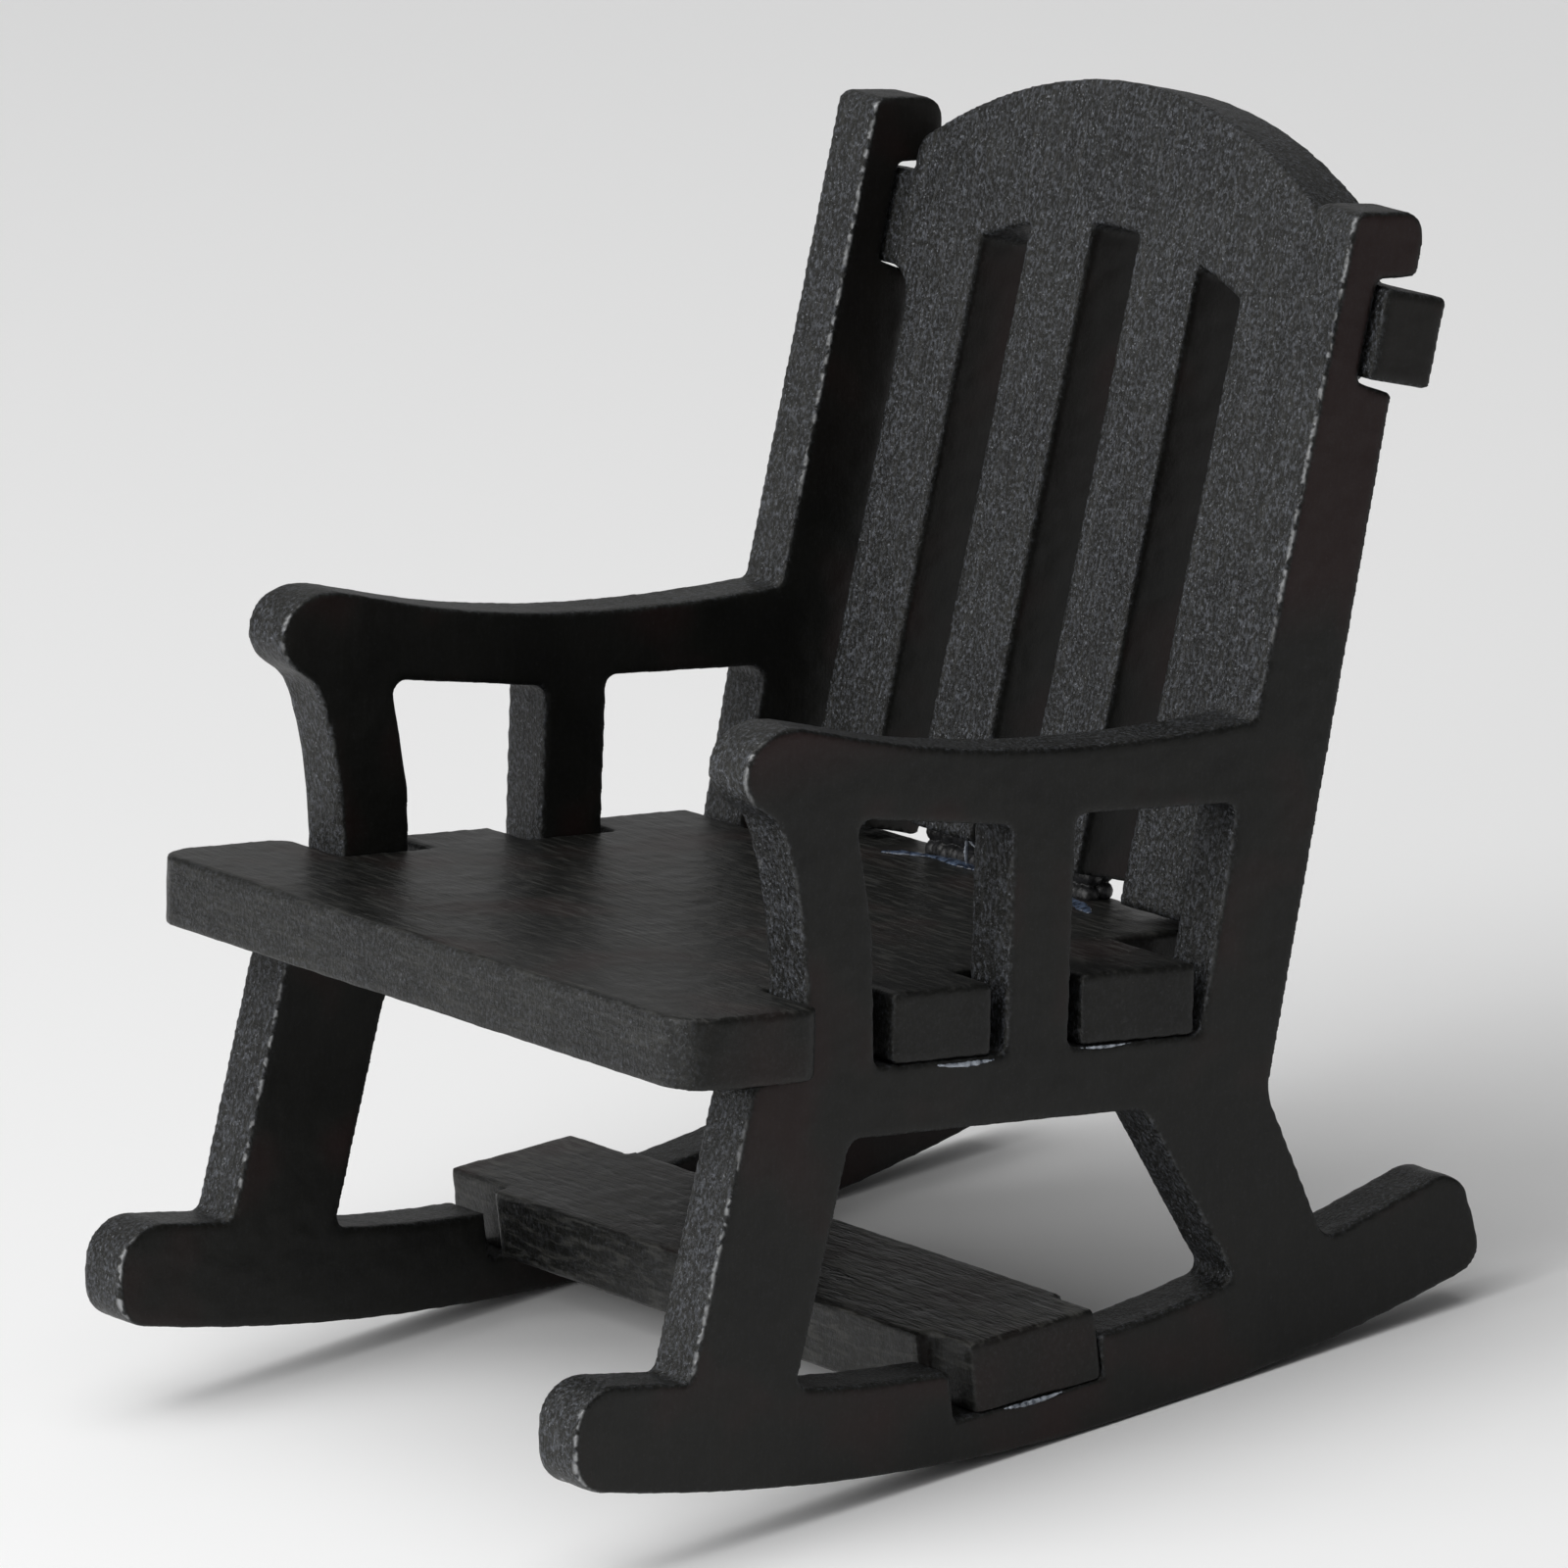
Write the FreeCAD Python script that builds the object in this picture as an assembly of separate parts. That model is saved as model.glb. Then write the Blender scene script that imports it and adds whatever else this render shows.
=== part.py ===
import FreeCAD, Part
import math
import os

# Miniature rocking chair, 1:12 dolls house scale, built from five flat
# boards that slot together: two side frames, a seat, a slatted back and a
# foot rail.  Millimetres, +Z up, the sitter faces -Y, +X is the sitter's left.
#
# Every outline is drawn with the seat level.  At the end all the boards are
# leaned back together about the X axis by REST_TILT, the angle at which the
# chair comes to rest on its rockers.

# ---- driving dimensions ----------------------------------------------------
BOARD = 5.0                  # thickness of the board every piece is cut from
CHAIR_WIDTH = 65.0           # over the outer faces of the side frames
EDGE_SOFTNESS = 0.3          # radius along the painted edges
REST_TILT = 10.6             # degrees the chair leans back at rest
SLIDE_FIT = 0.1              # gap between a board and a frame's inner face

# rockers
ROCKER_RADIUS = 146.0        # underside of the runners
ROCKER_LOW_Y = -12.5         # lowest point of the runner with the seat level
ROCKER_LOW_Z = -0.25         # a little below the level the heights are counted from
TOE_Y = -32.7                # front end of the runner
HEEL_Y = 41.9                # rear end of the runner

# seat
SEAT_UNDERSIDE = 28.4
SEAT_TOP = SEAT_UNDERSIDE + BOARD
SEAT_FRONT_Y = -26.3
SEAT_REAR_Y = 16.9
EAR_HALF_WIDTH = 35.0        # the front of the seat spreads over both frames
EAR_REAR_Y = -15.2
EAR_FRONT_RADIUS = 3.0
EAR_REAR_RADIUS = 1.5
SEAT_TABS_Y = ((-7.9, 0.2), (7.5, 16.9))     # the tabs end flush with the frames
TONGUE_HALF_WIDTH = 22.2     # tongue that carries the back panel
TONGUE_REAR_Y = 25.4
TONGUE_CORNER_RADIUS = 0.8

# back panel, drawn in its own plane: across X and up along the panel
PANEL_FOOT_Y = 21.0          # front face of the panel at the top of the seat
PANEL_LEAN = 11.8            # degrees from the seat's normal
PANEL_TOP = 56.9
PANEL_ARCH_RADIUS = 50.0
PANEL_CORNER_RADIUS = 1.6
PANEL_LEFT_WIDTH_TOP = 25.4      # from the middle to the edge, above the tabs
PANEL_RIGHT_WIDTH_TOP = 26.2     # the right shoulder is cut a little wider
PANEL_WIDTH_FOOT = 24.0          # from the middle to the edge, below the tabs
PANEL_LEFT_TAB_LOW = 40.7
PANEL_RIGHT_TAB_LOW = 40.35         # the right tab comes down closer to its notch
PANEL_TAB_HIGH = 47.1
PANEL_TAB_HALF_SPAN = 33.5
PANEL_TAB_FILLET = 3.0           # inner corner under each tab
SLOT_WIDTH = 5.6
SLOT_PITCH = 13.4
SLOT_TOP = 46.7
SLOT_ARCH_RADIUS = 47.0
INNER_SLAT_FOOT = 2.2        # inner slats stop this far short of the seat

# foot rail between the rockers
RAIL_SEAT = (4.9, 4.15)      # middle of the notch floor in each rocker
RAIL_LEAN = 8.5              # degrees, square to the curve of the rocker
RAIL_TAB_HALF_WIDTH = 5.2
RAIL_BODY_FRONT = 6.3
RAIL_BODY_REAR = 5.9
RAIL_PROUD_LEFT = 0.0        # the left end is flush with its rocker
RAIL_PROUD_RIGHT = 2.5       # the right end sticks out beyond its rocker
RAIL_NOTCH_FRONT = 7.0
RAIL_NOTCH_REAR = 5.3

FRAME_INNER_X = CHAIR_WIDTH / 2 - BOARD
TAB_CORNER = 0.4             # radius at the corners of every tab
RAIL_CORNER = 0.3            # radius at the corners of the rail between the frames
TINY = 1e-6                  # lengths below this count as nothing

# ---- small drawing helpers -------------------------------------------------
def rounded_loop(corners, to_point):
    """Closed outline of straight edges; each corner is (a, b, radius)."""
    edges = []
    count = len(corners)
    starts = []
    for index in range(count):
        before = FreeCAD.Vector(*corners[index - 1][:2], 0)
        here = FreeCAD.Vector(*corners[index][:2], 0)
        after = FreeCAD.Vector(*corners[(index + 1) % count][:2], 0)
        radius = corners[index][2]
        if radius == 0:
            starts.append((here, None, here))
            continue
        back = (before - here).normalize()
        ahead = (after - here).normalize()
        half_angle = back.getAngle(ahead) / 2
        setback = radius / math.tan(half_angle)
        middle = (back + ahead).normalize()
        reach = radius / math.sin(half_angle) - radius
        starts.append((here + back * setback, here + middle * reach, here + ahead * setback))
    for index in range(count):
        enter, middle, leave = starts[index]
        if middle is not None:
            arc = Part.Arc(to_point(enter), to_point(middle), to_point(leave))
            edges.append(arc.toShape())
        following = starts[(index + 1) % count][0]
        edges.append(Part.makeLine(to_point(leave), to_point(following)))
    return Part.Wire(edges)


def side_point(vector):
    """A point of a side frame's outline: (y, z) in the plane x = 0."""
    return FreeCAD.Vector(0, vector.x, vector.y)


def plan_point(vector):
    """A point of the seat's outline: (x, y) in the plane z = 0."""
    return FreeCAD.Vector(vector.x, vector.y, 0)


def side(y, z):
    return FreeCAD.Vector(0, y, z)


def side_line(start, end):
    return Part.makeLine(side(*start), side(*end))


def side_arc(start, middle, end):
    return Part.Arc(side(*start), side(*middle), side(*end)).toShape()


def side_curve(points):
    curve = Part.BSplineCurve()
    curve.interpolate([side(*point) for point in points])
    return curve.toShape()


def runner_underside(y):
    """Height of the runner's underside at y."""
    reach = y - ROCKER_LOW_Y
    return ROCKER_LOW_Z + ROCKER_RADIUS - math.sqrt(ROCKER_RADIUS ** 2 - reach ** 2)


def soften(solid, is_soft):
    """Round the edges picked by is_soft."""
    edges = [edge for edge in solid.Edges if is_soft(edge)]
    return solid.makeFillet(EDGE_SOFTNESS, edges).Solids[0]


# ---- side frames -----------------------------------------------------------
# Corners of the outline as (y, z) with the radius each one is rounded to.
TOE_LOW = (TOE_Y, runner_underside(TOE_Y))
HEEL_LOW = (HEEL_Y, runner_underside(HEEL_Y))
TOE_TOP = (-32.8, 8.4)
HEEL_TOP = (39.6, 17.3)
LEG_HEEL = (28.3, 13.0)
LEG_BACK = (23.2, 23.8)
NOTCH_LOW_OUT = (31.85, 71.95)
NOTCH_LOW_IN = (28.95, 72.95)
NOTCH_HIGH_IN = (30.4, 79.95)
NOTCH_HIGH_OUT = (33.65, 79.95)
TOP_REAR = (34.45, 84.45)
TOP_FRONT = (28.4, 84.75)
ARM_REAR = (21.25, 50.0)
SHELF_REAR = (-15.0, SEAT_UNDERSIDE)
SHELF_FRONT = (-19.1, 28.0)
LEG_TOE = (-23.6, 7.8)
OPENING_FRONT_LOW = (-15.0, 6.6)
OPENING_FRONT_HIGH = (-11.1, 23.5)
OPENING_REAR_HIGH = (13.0, 23.5)
OPENING_REAR_LOW = (21.0, 10.8)
ROUNDINGS = (
    (TOE_LOW, 2.5),
    (TOE_TOP, 3.2),
    (HEEL_LOW, 2.2),
    (HEEL_TOP, 2.3),
    (LEG_HEEL, 1.2),
    (LEG_BACK, 3.0),
    (NOTCH_LOW_OUT, 0.4),
    (NOTCH_LOW_IN, 0.4),
    (NOTCH_HIGH_IN, 0.5),
    (NOTCH_HIGH_OUT, 0.4),
    (TOP_REAR, 1.7),
    (TOP_FRONT, 0.9),
    (ARM_REAR, 0.6),
    (SHELF_REAR, 0.6),
    (SHELF_FRONT, 1.1),
    (LEG_TOE, 0.8),
    (OPENING_FRONT_LOW, 0.8),
    (OPENING_FRONT_HIGH, 1.2),
    (OPENING_REAR_HIGH, 1.5),
    (OPENING_REAR_LOW, 0.8),
)


CORNER_REACH = 0.01          # a corner's edge lies within this of the listed point


def polyline(corners):
    return [side_line(start, end) for start, end in zip(corners, corners[1:])]


def side_outline():
    edges = [side_arc(TOE_LOW, (ROCKER_LOW_Y, ROCKER_LOW_Z), HEEL_LOW)]
    edges += polyline([
        HEEL_LOW, HEEL_TOP, LEG_HEEL, LEG_BACK,
        NOTCH_LOW_OUT, NOTCH_LOW_IN, NOTCH_HIGH_IN, NOTCH_HIGH_OUT,
        TOP_REAR, TOP_FRONT, ARM_REAR,
    ])
    # armrest, scroll and the curved front post down to the seat's shelf
    edges.append(side_curve([
        ARM_REAR,
        (9.0, 49.3),
        (0.0, 49.6),
        (-8.0, 50.6),
        (-14.4, 51.95),
        (-17.4, 52.2),
        (-19.7, 50.9),
        (-20.3, 48.8),
        (-19.2, 46.95),
        (-17.7, 45.9),
        (-16.9, 44.4),
        (-15.6, 39.2),
        (-15.0, 33.5),
        SHELF_REAR,
    ]))
    edges += polyline([SHELF_REAR, SHELF_FRONT, LEG_TOE, TOE_TOP, TOE_LOW])
    return Part.Wire(edges)


def side_windows():
    """The two openings under the armrest, either side of its middle post."""
    sill = SEAT_UNDERSIDE
    front = [
        (-9.3, sill, 0.6),
        (1.4, sill, 0.6),
        (1.5, 44.2, 0.8),
        (-11.2, 45.6, 0.9),
        (-9.7, 38.0, 9.0),
    ]
    rear = [
        (6.5, sill, 0.6),
        (17.4, sill, 0.6),
        (20.05, 44.3, 0.9),
        (6.7, 44.6, 0.9),
    ]
    return [rounded_loop(front, side_point), rounded_loop(rear, side_point)]


def leg_opening():
    """The opening between the legs, its sill curved like the rocker."""
    edges = polyline([OPENING_FRONT_LOW, OPENING_FRONT_HIGH, OPENING_REAR_HIGH, OPENING_REAR_LOW])
    edges.append(side_arc(OPENING_REAR_LOW, (4.0, 7.1), OPENING_FRONT_LOW))
    return Part.Wire(edges)


def round_corners(board):
    """Round the outline's corners, the edges that run straight through the board."""
    for (y, z), radius in ROUNDINGS:
        through = []
        for edge in board.Edges:
            box = edge.BoundBox
            runs_across = box.XMax - box.XMin > BOARD / 2
            if runs_across and math.hypot(box.YMin - y, box.ZMin - z) < CORNER_REACH:
                through.append(edge)
        board = board.makeFillet(radius, through).Solids[0]
    return board


def lean_with_rail(shape):
    """Place a shape drawn level about the rail's seat in the rocker."""
    centre = FreeCAD.Vector(0, 0, 0)
    shape.rotate(centre, FreeCAD.Vector(1, 0, 0), RAIL_LEAN)
    shape.translate(FreeCAD.Vector(0, RAIL_SEAT[0], RAIL_SEAT[1]))
    return shape


def make_side_frame(direction):
    """direction is +1 for the frame on the sitter's left, -1 for the right."""
    loops = [side_outline()] + side_windows() + [leg_opening()]
    face = Part.Face(loops[0])
    for loop in loops[1:]:
        face = face.cut(Part.Face(loop))
    board = round_corners(face.extrude(FreeCAD.Vector(BOARD, 0, 0)))
    notch_length = RAIL_NOTCH_FRONT + RAIL_NOTCH_REAR
    notch_corner = FreeCAD.Vector(-BOARD, -RAIL_NOTCH_FRONT, 0)
    notch = Part.makeBox(3 * BOARD, notch_length, 2 * BOARD, notch_corner)
    board = board.cut(lean_with_rail(notch))
    board = board.Solids[0]

    def on_a_face(edge):
        box = edge.BoundBox
        return box.XMax - box.XMin < TINY

    board = soften(board, on_a_face)
    board.translate(FreeCAD.Vector(FRAME_INNER_X, 0, 0))
    if direction < 0:
        board = board.mirror(FreeCAD.Vector(0, 0, 0), FreeCAD.Vector(1, 0, 0))
    return board


# ---- seat ------------------------------------------------------------------
def mirrored(half):
    """Full outline from the half on the +X side, listed front to rear."""
    other = [(-x, y, radius) for x, y, radius in reversed(half)]
    return half + other


def make_seat():
    body = FRAME_INNER_X - SLIDE_FIT
    tab_end = CHAIR_WIDTH / 2
    half = [
        (EAR_HALF_WIDTH, SEAT_FRONT_Y, EAR_FRONT_RADIUS),
        (EAR_HALF_WIDTH, EAR_REAR_Y, EAR_REAR_RADIUS),
        (body, EAR_REAR_Y, 0),
    ]
    for tab_front, tab_rear in SEAT_TABS_Y:
        half.append((body, tab_front, 0))
        half.append((tab_end, tab_front, TAB_CORNER))
        half.append((tab_end, tab_rear, TAB_CORNER))
        if tab_rear < SEAT_REAR_Y:
            half.append((body, tab_rear, 0))
    half.append((TONGUE_HALF_WIDTH, SEAT_REAR_Y, 0))
    half.append((TONGUE_HALF_WIDTH, TONGUE_REAR_Y, TONGUE_CORNER_RADIUS))
    outline = rounded_loop(mirrored(half), plan_point)
    board = Part.Face(outline).extrude(FreeCAD.Vector(0, 0, BOARD))

    def on_a_face(edge):
        box = edge.BoundBox
        return box.ZMax - box.ZMin < TINY

    board = soften(board, on_a_face)
    board.translate(FreeCAD.Vector(0, 0, SEAT_UNDERSIDE))
    return board


# ---- back panel ------------------------------------------------------------
def panel_point(vector):
    return FreeCAD.Vector(vector.x, 0, vector.y)


def panel_arch(x, top, radius):
    return top - radius + math.sqrt(radius ** 2 - x ** 2)


def make_slot(centre_x, foot):
    """Cutter for one slot, open at the foot, its head following the arch."""
    left = centre_x - SLOT_WIDTH / 2
    right = centre_x + SLOT_WIDTH / 2
    heads = [(x, panel_arch(x, SLOT_TOP, SLOT_ARCH_RADIUS)) for x in (left, centre_x, right)]
    points = [FreeCAD.Vector(x, -BOARD, up) for x, up in heads]
    left_foot = FreeCAD.Vector(left, -BOARD, foot)
    right_foot = FreeCAD.Vector(right, -BOARD, foot)
    edges = [
        Part.Arc(points[0], points[1], points[2]).toShape(),
        Part.makeLine(points[2], right_foot),
        Part.makeLine(right_foot, left_foot),
        Part.makeLine(left_foot, points[0]),
    ]
    return Part.Face(Part.Wire(edges)).extrude(FreeCAD.Vector(0, 3 * BOARD, 0))


def panel_half(width_top, tab_low):
    """Corners of one side of the panel, foot to top, as (x, up, radius)."""
    # the foot is cut square, so the leaning panel's rear edge meets the seat first
    foot = BOARD * math.tan(math.radians(PANEL_LEAN))
    return [
        (PANEL_WIDTH_FOOT, foot, 0.5),
        (PANEL_WIDTH_FOOT, tab_low, PANEL_TAB_FILLET),
        (PANEL_TAB_HALF_SPAN, tab_low, TAB_CORNER),
        (PANEL_TAB_HALF_SPAN, PANEL_TAB_HIGH, TAB_CORNER),
        (width_top, PANEL_TAB_HIGH, TAB_CORNER),
        (width_top, PANEL_TOP + BOARD, 0),
    ]


def is_shoulder(edge):
    """The edge through the board where the arch meets a side of the panel."""
    box = edge.BoundBox
    if box.XMax - box.XMin > TINY or box.ZMax - box.ZMin > TINY:
        return False
    width = PANEL_LEFT_WIDTH_TOP if box.XMin > 0 else PANEL_RIGHT_WIDTH_TOP
    height = panel_arch(width, PANEL_TOP, PANEL_ARCH_RADIUS)
    return math.hypot(abs(box.XMin) - width, box.ZMin - height) < CORNER_REACH


def make_back_panel():
    left = panel_half(PANEL_LEFT_WIDTH_TOP, PANEL_LEFT_TAB_LOW)
    right_half = panel_half(PANEL_RIGHT_WIDTH_TOP, PANEL_RIGHT_TAB_LOW)
    right = [(-x, up, radius) for x, up, radius in reversed(right_half)]
    outline = rounded_loop(left + right, panel_point)
    board = Part.Face(outline).extrude(FreeCAD.Vector(0, BOARD, 0))
    arch_centre = FreeCAD.Vector(0, -BOARD, PANEL_TOP - PANEL_ARCH_RADIUS)
    arch = Part.makeCylinder(PANEL_ARCH_RADIUS, 3 * BOARD, arch_centre, FreeCAD.Vector(0, 1, 0))
    # only what stands above the tabs is cut to the arch
    above_tabs = Part.makeBox(
        2 * FRAME_INNER_X, 3 * BOARD, 4 * BOARD,
        FreeCAD.Vector(-FRAME_INNER_X, -BOARD, PANEL_TAB_HIGH + EDGE_SOFTNESS),
    )
    board = board.cut(above_tabs.cut(arch))
    shoulders = [edge for edge in board.Edges if is_shoulder(edge)]
    board = board.makeFillet(PANEL_CORNER_RADIUS, shoulders).Solids[0]
    for step in (-1, 0, 1):
        board = board.cut(make_slot(step * SLOT_PITCH, -BOARD))
    # the relief under the inner slats runs from the middle of one outer slot to the other's
    relief_corner = FreeCAD.Vector(-SLOT_PITCH, -BOARD, -BOARD)
    relief = Part.makeBox(2 * SLOT_PITCH, 3 * BOARD, BOARD + INNER_SLAT_FOOT, relief_corner)
    board = board.cut(relief)
    board = board.Solids[0]

    def on_a_face(edge):
        box = edge.BoundBox
        return box.YMax - box.YMin < TINY

    board = soften(board, on_a_face)
    board.rotate(FreeCAD.Vector(0, 0, 0), FreeCAD.Vector(1, 0, 0), -PANEL_LEAN)
    board.translate(FreeCAD.Vector(0, PANEL_FOOT_Y, SEAT_TOP))
    return board


# ---- foot rail -------------------------------------------------------------
def make_foot_rail():
    body = FRAME_INNER_X - SLIDE_FIT
    left_end = CHAIR_WIDTH / 2 + RAIL_PROUD_LEFT
    right_end = -CHAIR_WIDTH / 2 - RAIL_PROUD_RIGHT
    corners = [
        (body, -RAIL_BODY_FRONT, RAIL_CORNER),
        (body, -RAIL_TAB_HALF_WIDTH, 0),
        (left_end, -RAIL_TAB_HALF_WIDTH, TAB_CORNER),
        (left_end, RAIL_TAB_HALF_WIDTH, TAB_CORNER),
        (body, RAIL_TAB_HALF_WIDTH, 0),
        (body, RAIL_BODY_REAR, RAIL_CORNER),
        (-body, RAIL_BODY_REAR, RAIL_CORNER),
        (-body, RAIL_TAB_HALF_WIDTH, 0),
        (right_end, RAIL_TAB_HALF_WIDTH, TAB_CORNER),
        (right_end, -RAIL_TAB_HALF_WIDTH, TAB_CORNER),
        (-body, -RAIL_TAB_HALF_WIDTH, 0),
        (-body, -RAIL_BODY_FRONT, RAIL_CORNER),
    ]
    outline = rounded_loop(corners, plan_point)
    board = Part.Face(outline).extrude(FreeCAD.Vector(0, 0, BOARD))

    def on_a_face(edge):
        box = edge.BoundBox
        return box.ZMax - box.ZMin < TINY

    return lean_with_rail(soften(board, on_a_face))


# ---- assemble, lean back to rest, stand on the floor --------------------------
boards = {
    "side_frame_left": make_side_frame(1),
    "side_frame_right": make_side_frame(-1),
    "seat_board": make_seat(),
    "back_panel": make_back_panel(),
    "foot_rail": make_foot_rail(),
}
runner_centre = FreeCAD.Vector(0, ROCKER_LOW_Y, ROCKER_LOW_Z + ROCKER_RADIUS)
for board in boards.values():
    board.rotate(runner_centre, FreeCAD.Vector(1, 0, 0), -REST_TILT)

# centre the chair in depth and set its runners on the floor
bounds = Part.makeCompound(list(boards.values())).optimalBoundingBox(False, False)
depth_centre = (bounds.YMin + bounds.YMax) / 2
os.makedirs("parts", exist_ok=True)
for name, board in boards.items():
    board.translate(FreeCAD.Vector(0, -depth_centre, -ROCKER_LOW_Z))
    board.exportStep("parts/" + name + ".step")
    print(name, board.isValid(), round(board.Volume, 1))
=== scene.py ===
import math
import random
from collections import namedtuple

import bmesh
import bpy
from mathutils import Matrix, Vector


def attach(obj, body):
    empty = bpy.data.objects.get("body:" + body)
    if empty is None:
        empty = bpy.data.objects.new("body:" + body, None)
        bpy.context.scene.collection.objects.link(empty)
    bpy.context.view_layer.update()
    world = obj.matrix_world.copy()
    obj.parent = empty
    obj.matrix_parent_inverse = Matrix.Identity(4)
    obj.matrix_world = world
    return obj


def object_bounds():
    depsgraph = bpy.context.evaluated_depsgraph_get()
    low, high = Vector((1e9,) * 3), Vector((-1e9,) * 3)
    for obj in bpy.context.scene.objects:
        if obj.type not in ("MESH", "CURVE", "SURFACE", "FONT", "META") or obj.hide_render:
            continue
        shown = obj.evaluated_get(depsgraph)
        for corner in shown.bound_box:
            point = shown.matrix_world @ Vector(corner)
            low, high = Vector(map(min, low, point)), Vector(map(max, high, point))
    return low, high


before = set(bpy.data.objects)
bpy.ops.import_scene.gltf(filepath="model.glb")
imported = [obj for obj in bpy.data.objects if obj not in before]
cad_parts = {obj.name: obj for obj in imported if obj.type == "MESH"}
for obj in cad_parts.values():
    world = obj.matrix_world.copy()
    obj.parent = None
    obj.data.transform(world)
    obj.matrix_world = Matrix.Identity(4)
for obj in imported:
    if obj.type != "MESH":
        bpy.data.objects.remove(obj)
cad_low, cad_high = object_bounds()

# Miniature rocking chair: five black-painted boards, slotted and glued.
# The CAD boards stay; each gets a finer skin by modifiers and a painted-wood
# material that is smooth on some faces and gritty on others; the gritty faces are
# those that look to the front, and their pale grit is partly painted light.  The squeezed-out
# glue is made here.  Metres, in the row's frame, unless a comment says millimetres.

MM = 0.001
BODY = "root"
random.seed(12)

# ---- how the boards lie ------------------------------------------------------
REST_TILT = math.radians(10.6)       # the chair leans back on its rockers
PANEL_LEAN = math.radians(11.8)      # the back leans further
RAIL_LEAN = math.radians(-8.5)       # the rail leans forward again
ROCKER_CENTRE = Vector((0, -12.5 * MM, 145.75 * MM))
FRAME_SHIFT = Vector((0, 16.323 * MM, 0.25 * MM))    # from the seat-level drawing
SEAT_TOP = 33.4                      # millimetres, with the seat level

# How each board is finished.  The three amounts under sandy and grained are for
# the faces that look along the board's own X, Y and Z.
#   lean        turn about X from upright
#   grain_axis  the axis its grain runs along
#   grain_width across the grain
#   sandy  how much of the paint's pale coarse grit is on the face, high on faces
#                 that look to the front: partly real grit, partly painted light
#   grained     how much of the wood's grain shows through the paint
#   beading  how strongly paint has beaded on its front left edges, and
#                 how bright a painted highlight is put on them
#   redness     how far a red undercoat shows through above the arms
Board = namedtuple("Board", "lean grain_axis grain_width sandy grained beading redness")
FRAME_FINISH = (REST_TILT, "Z", 0.36 * MM, (0.04, 1.0, 0.55), (0.02, 0.2, 0.2), 1.0)
SEAT_FINISH = (REST_TILT, "X", 0.34 * MM, (0.08, 0.45, 0.10), (0.05, 0.2, 0.36), 0.25)
PANEL_FINISH = (REST_TILT + PANEL_LEAN, "Z", 0.36 * MM, (0.03, 1.0, 0.9), (0.02, 0.2, 0.2), 0.0)
RAIL_FINISH = (REST_TILT + RAIL_LEAN, "X", 0.55 * MM, (0.08, 0.22, 0.08), (0.05, 0.4, 0.85), 0.5)
BOARDS = {
    "side_frame_left": Board(*FRAME_FINISH, redness=0.8),
    "side_frame_right": Board(*FRAME_FINISH, redness=0.1),
    "seat_board": Board(*SEAT_FINISH, redness=0.0),
    "back_panel": Board(*PANEL_FINISH, redness=0.1),
    "foot_rail": Board(*RAIL_FINISH, redness=0.0),
}


def leaned(x, y, z):
    """A place given in millimetres with the seat level, in the row's frame."""
    turned = Matrix.Rotation(-REST_TILT, 3, "X") @ (Vector((x, y, z)) * MM - ROCKER_CENTRE)
    return turned + ROCKER_CENTRE + FRAME_SHIFT


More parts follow.
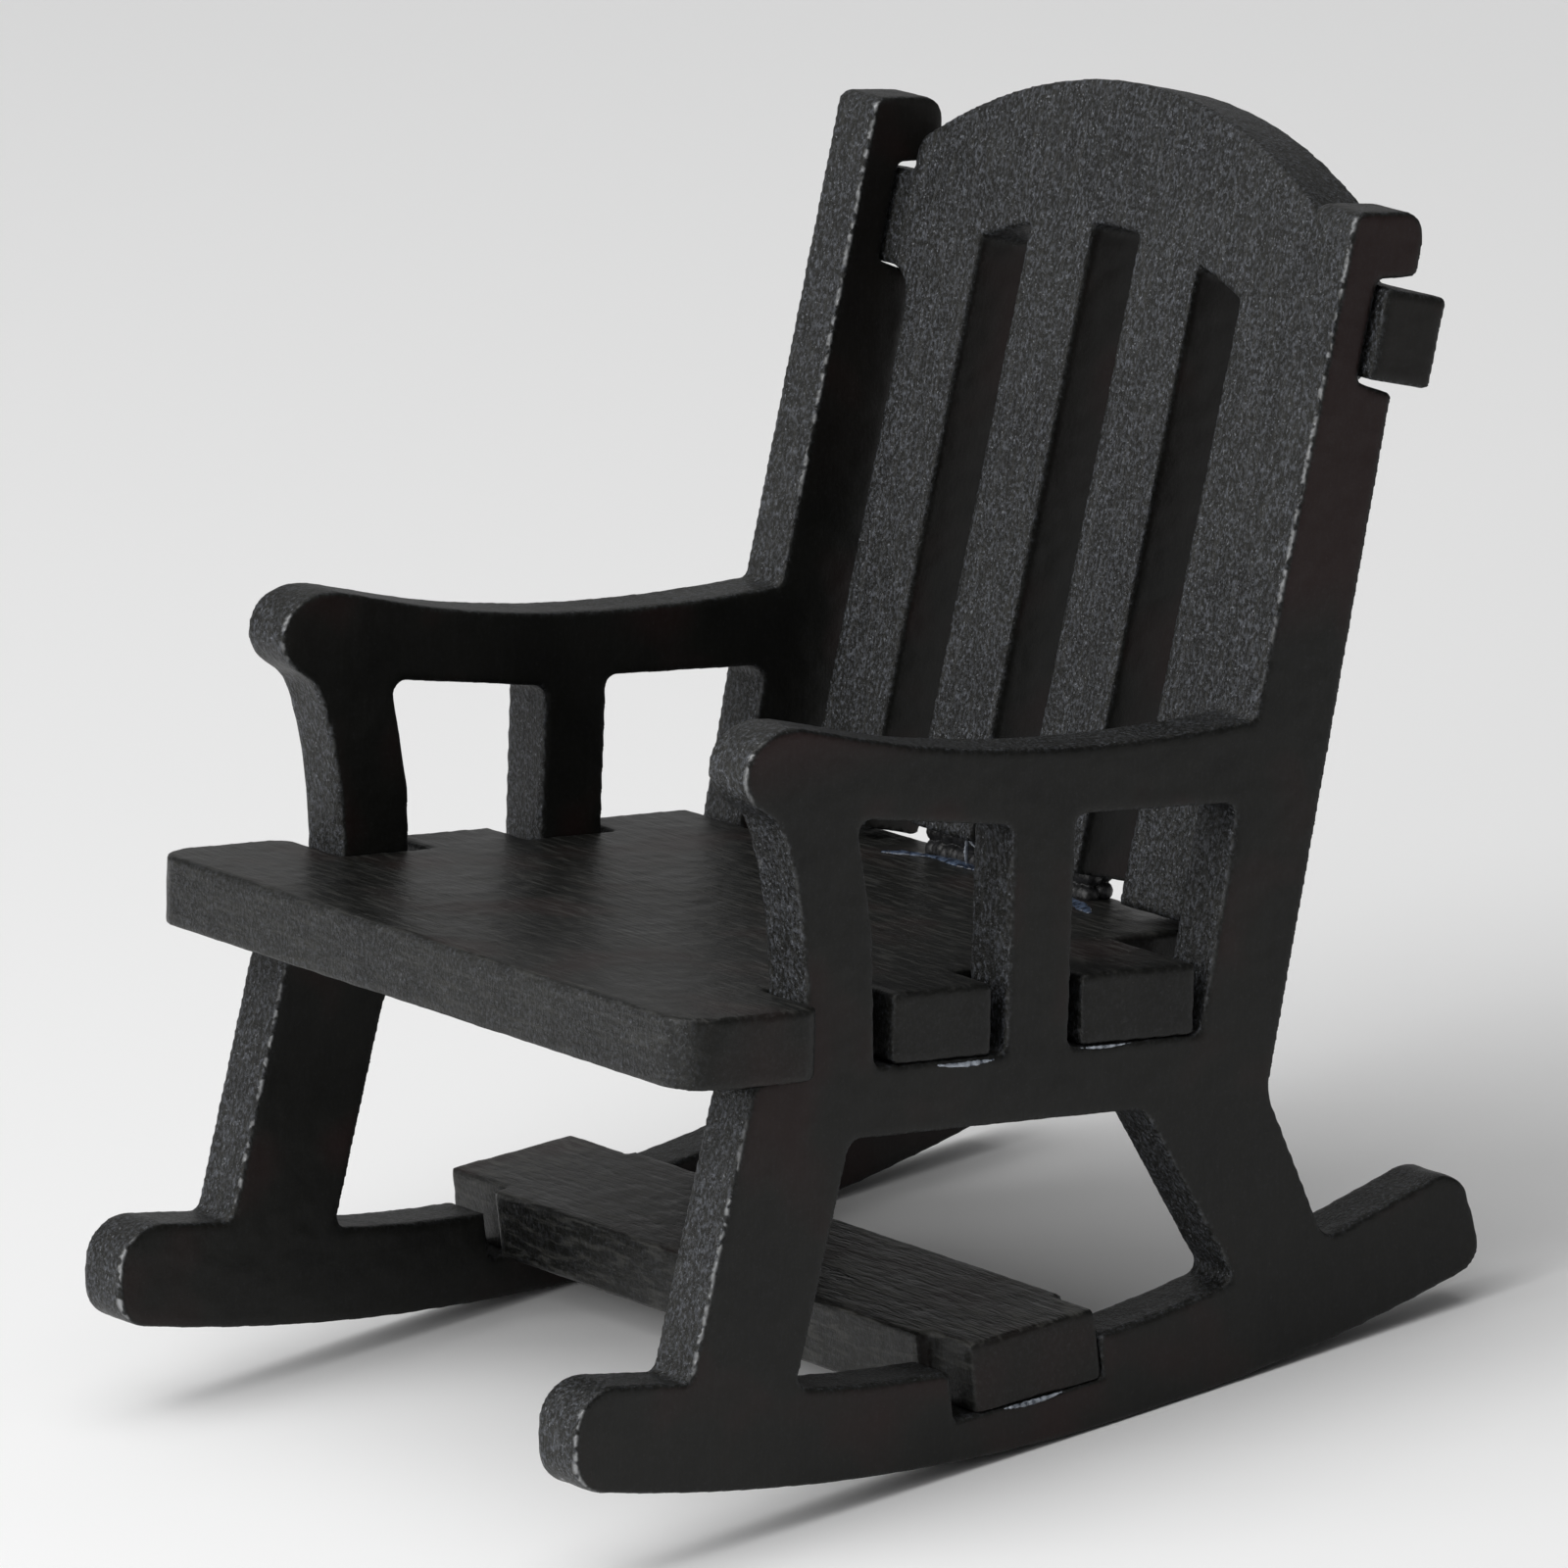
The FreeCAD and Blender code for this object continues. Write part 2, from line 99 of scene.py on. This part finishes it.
# ---- node helpers --------------------------------------------------------------
class Graph:
    """Short calls for building one material's nodes."""

    def __init__(self, name):
        self.material = bpy.data.materials.new(name)
        self.material.use_nodes = True
        self.tree = self.material.node_tree
        self.tree.nodes.clear()
        self.coords = self.node("ShaderNodeTexCoord")

    def node(self, kind, **settings):
        made = self.tree.nodes.new(kind)
        for key, value in settings.items():
            setattr(made, key, value)
        return made

    def feed(self, socket, value):
        if isinstance(value, bpy.types.NodeSocket):
            self.tree.links.new(value, socket)
        else:
            socket.default_value = value

    def space(self, lean, sizes, offset=0.0):
        """Object coordinates turned into a board's own axes, one unit per feature size."""
        mapping = self.node("ShaderNodeMapping", vector_type="TEXTURE")
        self.feed(mapping.inputs["Vector"], self.coords.outputs["Object"])
        mapping.inputs["Location"].default_value = (offset, offset, offset)
        mapping.inputs["Rotation"].default_value = (-lean, 0, 0)
        mapping.inputs["Scale"].default_value = sizes
        return mapping.outputs["Vector"]

    def noise(self, vector, detail=2.0, roughness=0.5, distortion=0.0):
        made = self.node("ShaderNodeTexNoise")
        self.feed(made.inputs["Vector"], vector)
        self.feed(made.inputs["Scale"], 1.0)
        self.feed(made.inputs["Detail"], detail)
        self.feed(made.inputs["Roughness"], roughness)
        self.feed(made.inputs["Distortion"], distortion)
        return made.outputs["Fac"]

    def math(self, operation, a, b):
        made = self.node("ShaderNodeMath", operation=operation)
        self.feed(made.inputs[0], a)
        self.feed(made.inputs[1], b)
        return made.outputs[0]

    def remap(self, value, low, high, to_low=0.0, to_high=1.0):
        """Stretch low..high to to_low..to_high and clamp."""
        made = self.node("ShaderNodeMapRange", clamp=True)
        self.feed(made.inputs["Value"], value)
        self.feed(made.inputs["From Min"], low)
        self.feed(made.inputs["From Max"], high)
        self.feed(made.inputs["To Min"], to_low)
        self.feed(made.inputs["To Max"], to_high)
        return made.outputs["Result"]

    def mix(self, factor, a, b):
        made = self.node("ShaderNodeMix", data_type="RGBA")
        self.feed(made.inputs["Factor"], factor)
        self.feed(made.inputs["A"], a)
        self.feed(made.inputs["B"], b)
        return made.outputs["Result"]

    def by_axis(self, direction):
        """How far the surface looks along a direction, -1 to 1."""
        product = self.node("ShaderNodeVectorMath", operation="DOT_PRODUCT")
        self.feed(product.inputs[0], self.coords.outputs["Normal"])
        self.feed(product.inputs[1], direction)
        return product.outputs["Value"]

    def by_face(self, lean, amounts):
        """Blend three amounts by how far the surface looks along the board's X, Y and Z."""
        turned = self.node("ShaderNodeVectorRotate", rotation_type="X_AXIS")
        self.feed(turned.inputs["Vector"], self.coords.outputs["Normal"])
        self.feed(turned.inputs["Angle"], lean)
        squared = self.node("ShaderNodeVectorMath", operation="MULTIPLY")
        self.feed(squared.inputs[0], turned.outputs["Vector"])
        self.feed(squared.inputs[1], turned.outputs["Vector"])
        blend = self.node("ShaderNodeVectorMath", operation="DOT_PRODUCT")
        self.feed(blend.inputs[0], squared.outputs["Vector"])
        self.feed(blend.inputs[1], amounts)
        return blend.outputs["Value"]

    def bump(self, height, distance, strength):
        made = self.node("ShaderNodeBump")
        self.feed(made.inputs["Height"], height)
        self.feed(made.inputs["Distance"], distance)
        self.feed(made.inputs["Strength"], strength)
        return made.outputs["Normal"]

    def finish(self, color, roughness, normal, specular):
        """End the graph in one shader and give back the material."""
        shader = self.node("ShaderNodeBsdfPrincipled")
        self.feed(shader.inputs["Base Color"], color)
        self.feed(shader.inputs["Roughness"], roughness)
        self.feed(shader.inputs["Normal"], normal)
        shader.inputs["Specular IOR Level"].default_value = specular
        output = self.node("ShaderNodeOutputMaterial")
        self.feed(output.inputs["Surface"], shader.outputs[0])
        return self.material


# ---- materials -------------------------------------------------------------------
# linear colours
PAINT_DARK = (0.0046, 0.0047, 0.0040, 1)
PAINT_MID = (0.0098, 0.0099, 0.0084, 1)
PAINT_WARM = (0.0190, 0.0068, 0.0066, 1)
# pale grit colour; laid mostly on faces that look to the front, it is partly painted light
LIT_SAND = (0.090, 0.096, 0.110, 1)
# pale specks that stand for glints: painted highlight
SPARK_GLINT = (0.240, 0.250, 0.270, 1)
STROKE = (0.085, 0.084, 0.076, 1)
# the bright colour on beaded edges: a painted highlight
BEAD_HIGHLIGHT = (0.56, 0.57, 0.58, 1)

# feature sizes of the paint
ALONG_GRAIN = 3.4 * MM
SAND_SIZES = (0.30 * MM, 0.30 * MM, 0.38 * MM)
GLINT_SPECK_SIZE = 0.20 * MM
BEAD_SIZE = 0.80 * MM
CLUMP_SIZE = 0.95 * MM
PATCH_SIZE = 11.0 * MM
PAINT_RELIEF = 0.20 * MM
PAINT_RELIEF_STRENGTH = 0.9
PAINT_SPECULAR = 0.25
GRIT_EVERYWHERE = 0.05               # relief that even the smooth faces keep

# roughness: smooth and sandy paint, and what grain, patches and beads change
SMOOTH_ROUGHNESS = 0.38
SANDY_ROUGHNESS = 0.50
GRAIN_ROUGHNESS = 0.12
PATCH_ROUGHNESS = 0.04
BEAD_GLOSS = 0.15

# a sharp convex edge, as the surface's pointiness
ARRIS_START = 0.52
ARRIS_FULL = 0.57
FRONT_LEFT = (0.6, -0.8, 0)          # the direction of the beaded edges that get a painted highlight
BEADS_AND_HIGHLIGHT_ELSEWHERE = 0.12

# where the beads and their painted highlight end, in the row's frame
FRONT_LEG_REAR = -8.0 * MM
SEAT_UNDERSIDE = 30.0 * MM
ARM_TOP = 50.0 * MM
ZONE_FADE = 4.0 * MM


def painted_wood(name, board, offset):
    """Black paint over wood: grit, grain, reddish patches and beaded edges, with painted light: pale
    grit on front-looking faces, painted glints and painted edge highlights.
    """
    graph = Graph(name)
    lean = board.lean
    if board.grain_axis == "X":
        sizes = (ALONG_GRAIN, board.grain_width, board.grain_width)
    else:
        sizes = (board.grain_width, board.grain_width, ALONG_GRAIN)
    grain = graph.noise(graph.space(lean, sizes, offset), 3.0, 0.62, 0.25)
    grit = graph.noise(graph.space(lean, SAND_SIZES, offset), 3.0, 0.65)
    glint_specks = graph.noise(graph.space(lean, (GLINT_SPECK_SIZE,) * 3, offset), 1.0, 0.5)
    beads = graph.noise(graph.space(lean, (BEAD_SIZE,) * 3, offset), 1.0, 0.5)
    patches = graph.noise(graph.space(lean, (PATCH_SIZE,) * 3, offset), 2.0, 0.5)
    sandy = graph.by_face(lean, board.sandy)
    grained = graph.by_face(lean, board.grained)
    pointiness = graph.node("ShaderNodeNewGeometry").outputs["Pointiness"]
    # the beads, and a painted highlight on them, sit on the front left edges of the uprights and of the
    # front legs
    place = graph.node("ShaderNodeSeparateXYZ")
    graph.feed(place.inputs["Vector"], graph.coords.outputs["Object"])
    forward = graph.remap(place.outputs["Y"], FRONT_LEG_REAR, FRONT_LEG_REAR - ZONE_FADE)
    below_seat = graph.remap(place.outputs["Z"], SEAT_UNDERSIDE, SEAT_UNDERSIDE - ZONE_FADE)
    above_arms = graph.remap(place.outputs["Z"], ARM_TOP, ARM_TOP + ZONE_FADE)
    highlight_zone = graph.math("ADD", graph.math("MULTIPLY", forward, below_seat), above_arms)
    highlight_zone = graph.remap(highlight_zone, 0.0, 1.0, BEADS_AND_HIGHLIGHT_ELSEWHERE, 1.0)
    front_left = graph.remap(graph.by_axis(FRONT_LEFT), 0.55, 0.85)
    sharp = graph.remap(pointiness, ARRIS_START, ARRIS_FULL)
    glint_arris = graph.math("MULTIPLY", sharp, front_left)
    glint_arris = graph.math("MULTIPLY", glint_arris, highlight_zone)

    color = graph.mix(graph.remap(patches, 0.35, 0.65), PAINT_DARK, PAINT_MID)
    smooth_faces = graph.remap(sandy, 0.02, 0.2, 1.0, 0.0)
    warm = graph.remap(patches, 0.52, 0.66, 0.0, 0.7)
    warm = graph.math("MAXIMUM", warm, graph.math("MULTIPLY", above_arms, board.redness))
    warm = graph.math("MULTIPLY", smooth_faces, warm)
    color = graph.mix(warm, color, PAINT_WARM)
    stroke = graph.math("MULTIPLY", grained, graph.remap(grain, 0.50, 0.64, 0.0, 0.8))
    color = graph.mix(stroke, color, STROKE)
    clumps = graph.noise(graph.space(lean, (CLUMP_SIZE,) * 3, offset), 2.0, 0.6)
    # pale grit, mostly on faces that look to the front: partly real grit, partly painted light that
    # keeps the side faces darker
    sand_and_light = graph.math("MULTIPLY", sandy, graph.remap(grit, 0.46, 0.74))
    sand_and_light = graph.math("MULTIPLY", sand_and_light, graph.remap(clumps, 0.36, 0.62, 0.55, 1.25))
    color = graph.mix(sand_and_light, color, LIT_SAND)
    # painted glints: pale specks on the front-looking grit
    painted_glint = graph.math("MULTIPLY", sandy, graph.remap(glint_specks, 0.66, 0.76, 0.0, 0.55))
    color = graph.mix(painted_glint, color, SPARK_GLINT)
    # the painted highlight on beaded edges, only where there is grit
    bead_highlight = graph.math("MULTIPLY", glint_arris, graph.remap(beads, 0.46, 0.56, 0.0, board.beading))
    bead_highlight = graph.math("MULTIPLY", bead_highlight, graph.remap(sandy, 0.15, 0.6))
    color = graph.mix(bead_highlight, color, BEAD_HIGHLIGHT)

    roughness = graph.remap(sandy, 0, 1, SMOOTH_ROUGHNESS, SANDY_ROUGHNESS)
    streaks = graph.remap(grain, 0.3, 0.7, -GRAIN_ROUGHNESS, GRAIN_ROUGHNESS)
    streaks = graph.math("MULTIPLY", grained, streaks)
    roughness = graph.math("ADD", roughness, streaks)
    dull = graph.remap(patches, 0.3, 0.7, -PATCH_ROUGHNESS, PATCH_ROUGHNESS)
    roughness = graph.math("ADD", roughness, dull)
    roughness = graph.math("SUBTRACT", roughness, graph.math("MULTIPLY", bead_highlight, BEAD_GLOSS))

    relief = graph.math("MULTIPLY", grain, grained)
    relief = graph.math("ADD", relief, graph.math("MULTIPLY", grit, sandy))
    edge = graph.math("MULTIPLY", glint_arris, board.beading)
    relief = graph.math("ADD", relief, graph.math("MULTIPLY", beads, edge))
    relief = graph.math("ADD", relief, graph.math("MULTIPLY", grit, GRIT_EVERYWHERE))
    normal = graph.bump(relief, PAINT_RELIEF, PAINT_RELIEF_STRENGTH)
    return graph.finish(color, roughness, normal, PAINT_SPECULAR)


MOTTLE_SIZE = 0.5 * MM
GLUE_RELIEF = 0.05 * MM
GLUE_RELIEF_STRENGTH = 0.4
GLUE_SPECULAR = 0.6


def dried_glue(name, dark, pale, smooth, rough):
    """Glue mottled from dark to pale, with roughness from smooth to rough."""
    graph = Graph(name)
    mottle = graph.noise(graph.space(0, (MOTTLE_SIZE,) * 3), 2.0)
    color = graph.mix(graph.remap(mottle, 0.35, 0.65), dark, pale)
    roughness = graph.remap(mottle, 0.3, 0.7, smooth, rough)
    normal = graph.bump(mottle, GLUE_RELIEF, GLUE_RELIEF_STRENGTH)
    return graph.finish(color, roughness, normal, GLUE_SPECULAR)


# ---- boards: finer skin over the CAD shape --------------------------------------
SKIN_PITCH = 0.30 * MM
RIPPLE_SIZE = 1.6 * MM
RIPPLE_DEPTH = 0.10 * MM
PATTERN_SHIFT = 0.037                # so that no two boards show the same pattern
ripple = bpy.data.textures.new("hand_finish", "CLOUDS")
ripple.noise_scale = RIPPLE_SIZE
ripple.noise_depth = 2

for index, (node, board) in enumerate(BOARDS.items()):
    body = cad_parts[node]
    skin = body.modifiers.new("fine_skin", "REMESH")
    skin.mode = "VOXEL"
    skin.voxel_size = SKIN_PITCH
    skin.use_smooth_shade = True
    wave = body.modifiers.new("hand_finish", "DISPLACE")
    wave.texture = ripple
    wave.texture_coords = "LOCAL"
    wave.strength = RIPPLE_DEPTH
    wave.mid_level = 0.5
    material = painted_wood("painted_" + node, board, index * PATTERN_SHIFT)
    for material_slot in body.material_slots:
        material_slot.material = material

# ---- squeezed-out glue ------------------------------------------------------------
# glue whose pale mottling partly stands for glints: painted highlight
glinting_glue = dried_glue("dried_glue", (0.05, 0.06, 0.08, 1), (0.42, 0.46, 0.52, 1), 0.22, 0.40)
# bluish glue film; its pale tone is a painted reflection on the seat's rear
sheen_glue = dried_glue("sheen_glue", (0.010, 0.014, 0.024, 1), (0.060, 0.085, 0.135, 1), 0.24, 0.38)
painted_glue = dried_glue("painted_glue", (0.006, 0.006, 0.006, 1), (0.018, 0.018, 0.020, 1), 0.42, 0.55)

GLUE_SKIN_PITCH = 0.07 * MM
GLUE_SMOOTHING = 4
BEAD_STEPS = 20
END_THICKNESS = 0.45                 # of a bead's full thickness
# how lumps are stretched along X, Y and Z
FLAT_BEAD = (0.8, 1.5, 1.0)
ROUND_LUMP = (1.0, 1.0, 1.0)
FILM = (1.6, 1.6, 0.7)


def lumpy(name, lumps, material, stretch=FLAT_BEAD):
    """Lumps merged into one mass; each is (x, y, z, radius), seat level, millimetres."""
    mesh = bpy.data.meshes.new(name)
    body = bmesh.new()
    for x, y, z, radius in lumps:
        matrix = Matrix.Translation(leaned(x, y, z)) @ Matrix.Diagonal((*stretch, 1.0))
        bmesh.ops.create_icosphere(body, subdivisions=2, radius=radius * MM, matrix=matrix)
    body.to_mesh(mesh)
    body.free()
    mass = bpy.data.objects.new(name, mesh)
    bpy.context.scene.collection.objects.link(mass)
    skin = mass.modifiers.new("merge", "REMESH")
    skin.mode = "VOXEL"
    skin.voxel_size = GLUE_SKIN_PITCH
    skin.use_smooth_shade = True
    smooth = mass.modifiers.new("smooth", "SMOOTH")
    smooth.iterations = GLUE_SMOOTHING
    mesh.materials.append(material)
    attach(mass, BODY)


def bead_lumps(start, end, thickness, sag=0.0):
    """Lumps strung from start to end, thin at the ends and sagging between."""
    lumps = []
    for step in range(BEAD_STEPS + 1):
        share = step / BEAD_STEPS
        bow = math.sin(math.pi * share)
        x, y, z = [a + (b - a) * share for a, b in zip(start, end)]
        swell = END_THICKNESS + (1 - END_THICKNESS) * bow
        radius = thickness * swell * random.uniform(0.80, 1.10)
        lumps.append((x, y + random.uniform(-0.06, 0.06), z - sag * bow, radius))
    return lumps


# a bead under each seat tab and rail tab, on the outer face of each frame;
# places and thicknesses from here on are millimetres with the seat level
FRAME_OUTER_X = 32.5
for side, word in ((1, "left"), (-1, "right")):
    outer = side * FRAME_OUTER_X
    front_tab = bead_lumps((outer, -4.2, 28.1), (outer, 0.3, 28.1), 0.22, 0.12)
    lumpy("glue_front_tab_" + word, front_tab, glinting_glue)
    rear_tab = bead_lumps((outer, 7.5, 28.3), (outer, 11.5, 28.3), 0.15, 0.08)
    lumpy("glue_rear_tab_" + word, rear_tab, glinting_glue)
    rail = bead_lumps((outer, 2.0, 3.6), (outer, 6.6, 4.3), 0.22, 0.10)
    lumpy("glue_rail_" + word, rail, glinting_glue)

# filler between the seat and the feet of the two inner slats
PAD_RADIUS = 0.75
PAD_JITTER = 0.10
PAD_STEPS = 14
PAD_ROWS = ((23.4, 33.7), (23.6, 35.0), (24.6, 34.0), (24.6, 35.2))
for word, left, right in (("right", -10.3, -3.2), ("left", 3.2, 9.4)):
    lumps = []
    for step in range(PAD_STEPS + 1):
        x = left + (right - left) * step / PAD_STEPS
        for y, z in PAD_ROWS:
            jitter = [random.uniform(-PAD_JITTER, PAD_JITTER) for axis in range(3)]
            lumps.append((x + jitter[0], y + jitter[1], z + jitter[2], PAD_RADIUS))
    lumpy("glue_pad_" + word, lumps, painted_glue, ROUND_LUMP)

# glue that crept out over the seat in front of the pads, its bluish pale tone a painted reflection, and
# one pulled thread, pale as a painted highlight
film_and_sheen = bead_lumps((-12.0, 20.3, SEAT_TOP), (-9.0, 22.4, SEAT_TOP), 0.30)
film_and_sheen += bead_lumps((-9.0, 22.4, SEAT_TOP), (-3.2, 22.5, SEAT_TOP), 0.38)
lumpy("glue_film_sheen_right", film_and_sheen, sheen_glue, FILM)
film_and_sheen = bead_lumps((3.4, 22.5, SEAT_TOP), (8.6, 22.3, SEAT_TOP), 0.32)
film_and_sheen += bead_lumps((8.6, 22.3, SEAT_TOP), (13.6, 20.6, SEAT_TOP), 0.34)
lumpy("glue_film_sheen_left", film_and_sheen, sheen_glue, FILM)
# a pale thread where a bright line shows: painted highlight
highlight_thread = bead_lumps((-4.9, 22.6, SEAT_TOP), (-4.5, 22.3, SEAT_TOP + 2.4), 0.16)
highlight_thread += bead_lumps((-4.5, 22.3, SEAT_TOP + 2.4), (-3.4, 22.3, SEAT_TOP + 1.6), 0.12)
lumpy("glue_highlight_thread", highlight_thread, glinting_glue)

# ---- floor, light, camera -----------------------------------------------------------
FLOOR_HALF = 6.0
floor_mesh = bpy.data.meshes.new("floor")
corners = [
    (-FLOOR_HALF, -FLOOR_HALF, 0),
    (FLOOR_HALF, -FLOOR_HALF, 0),
    (FLOOR_HALF, FLOOR_HALF, 0),
    (-FLOOR_HALF, FLOOR_HALF, 0),
]
floor_mesh.from_pydata(corners, [], [(0, 1, 2, 3)])
floor = bpy.data.objects.new("floor", floor_mesh)
bpy.context.scene.collection.objects.link(floor)
FLOOR_PALE = (0.90, 0.90, 0.90, 1)
FLOOR_PALER = (0.92, 0.92, 0.92, 1)
FLOOR_PATCH = 0.4
FLOOR_ROUGHNESS = 0.8
FLOOR_SPECULAR = 0.2
floor_graph = Graph("pale_floor")
floor_tone = floor_graph.noise(floor_graph.space(0, (FLOOR_PATCH,) * 3), 2.0)
floor_color = floor_graph.mix(floor_tone, FLOOR_PALE, FLOOR_PALER)
floor_normal = floor_graph.bump(floor_tone, 0.001, 0.05)
floor_paint = floor_graph.finish(floor_color, FLOOR_ROUGHNESS, floor_normal, FLOOR_SPECULAR)
floor_mesh.materials.append(floor_paint)

WORLD_STRENGTH = 0.14
world = bpy.data.worlds.new("studio")
world.use_nodes = True
sky = world.node_tree.nodes["Background"]
sky.inputs["Color"].default_value = (1, 1, 1, 1)
sky.inputs["Strength"].default_value = WORLD_STRENGTH
bpy.context.scene.world = world

middle = (cad_low + cad_high) / 2


def toward(azimuth, elevation):
    """Unit vector out from the chair; azimuth 0 is in front, 90 on its left side."""
    level = math.cos(elevation)
    return Vector((math.sin(azimuth) * level, -math.cos(azimuth) * level, math.sin(elevation)))


def softbox(name, azimuth, elevation, distance, size, power):
    """A square area light that faces the chair, out of the camera's sight."""
    away = toward(math.radians(azimuth), math.radians(elevation))
    lamp = bpy.data.lights.new(name, "AREA")
    lamp.shape = "SQUARE"
    lamp.size = size
    lamp.energy = power
    holder = bpy.data.objects.new(name, lamp)
    holder.location = middle + away * distance
    holder.rotation_mode = "QUATERNION"
    holder.rotation_quaternion = away.to_track_quat("Z", "Y")
    holder.visible_camera = False
    bpy.context.scene.collection.objects.link(holder)


# azimuth and elevation in degrees, distance and size in metres, power in watts
softbox("key", -20, 42, 1.0, 1.10, 7.6)
softbox("side", 22, 16, 0.30, 0.14, 0.20)
softbox("top", 20, 80, 1.0, 1.1, 5.6)
softbox("behind", -124, 16, 0.9, 0.80, 0.42)

CAMERA_AZIMUTH = math.radians(58.983)
CAMERA_ELEVATION = math.radians(15.918)
CAMERA_ROLL = math.radians(7.827)
CAMERA_DISTANCE = 1.26639
SENSOR_WIDTH = 36.0                  # millimetres, like the lens
CAMERA_LENS = 417.8
AIM_OFFSET = Vector((0.00043, 0.00053, -0.00026))
away = toward(CAMERA_AZIMUTH, CAMERA_ELEVATION)
camera_data = bpy.data.cameras.new("camera")
camera_data.sensor_width = SENSOR_WIDTH
camera_data.lens = CAMERA_LENS
camera_data.clip_start = 0.05
camera_data.clip_end = 20.0
camera = bpy.data.objects.new("camera", camera_data)
camera.location = middle + AIM_OFFSET + away * CAMERA_DISTANCE
camera.rotation_mode = "QUATERNION"
level = away.to_track_quat("Z", "Y")
camera.rotation_quaternion = level @ Matrix.Rotation(-CAMERA_ROLL, 3, "Z").to_quaternion()
bpy.context.scene.collection.objects.link(camera)
bpy.context.scene.camera = camera
bpy.context.scene.view_settings.view_transform = "Standard"
bpy.context.scene.view_settings.look = "None"
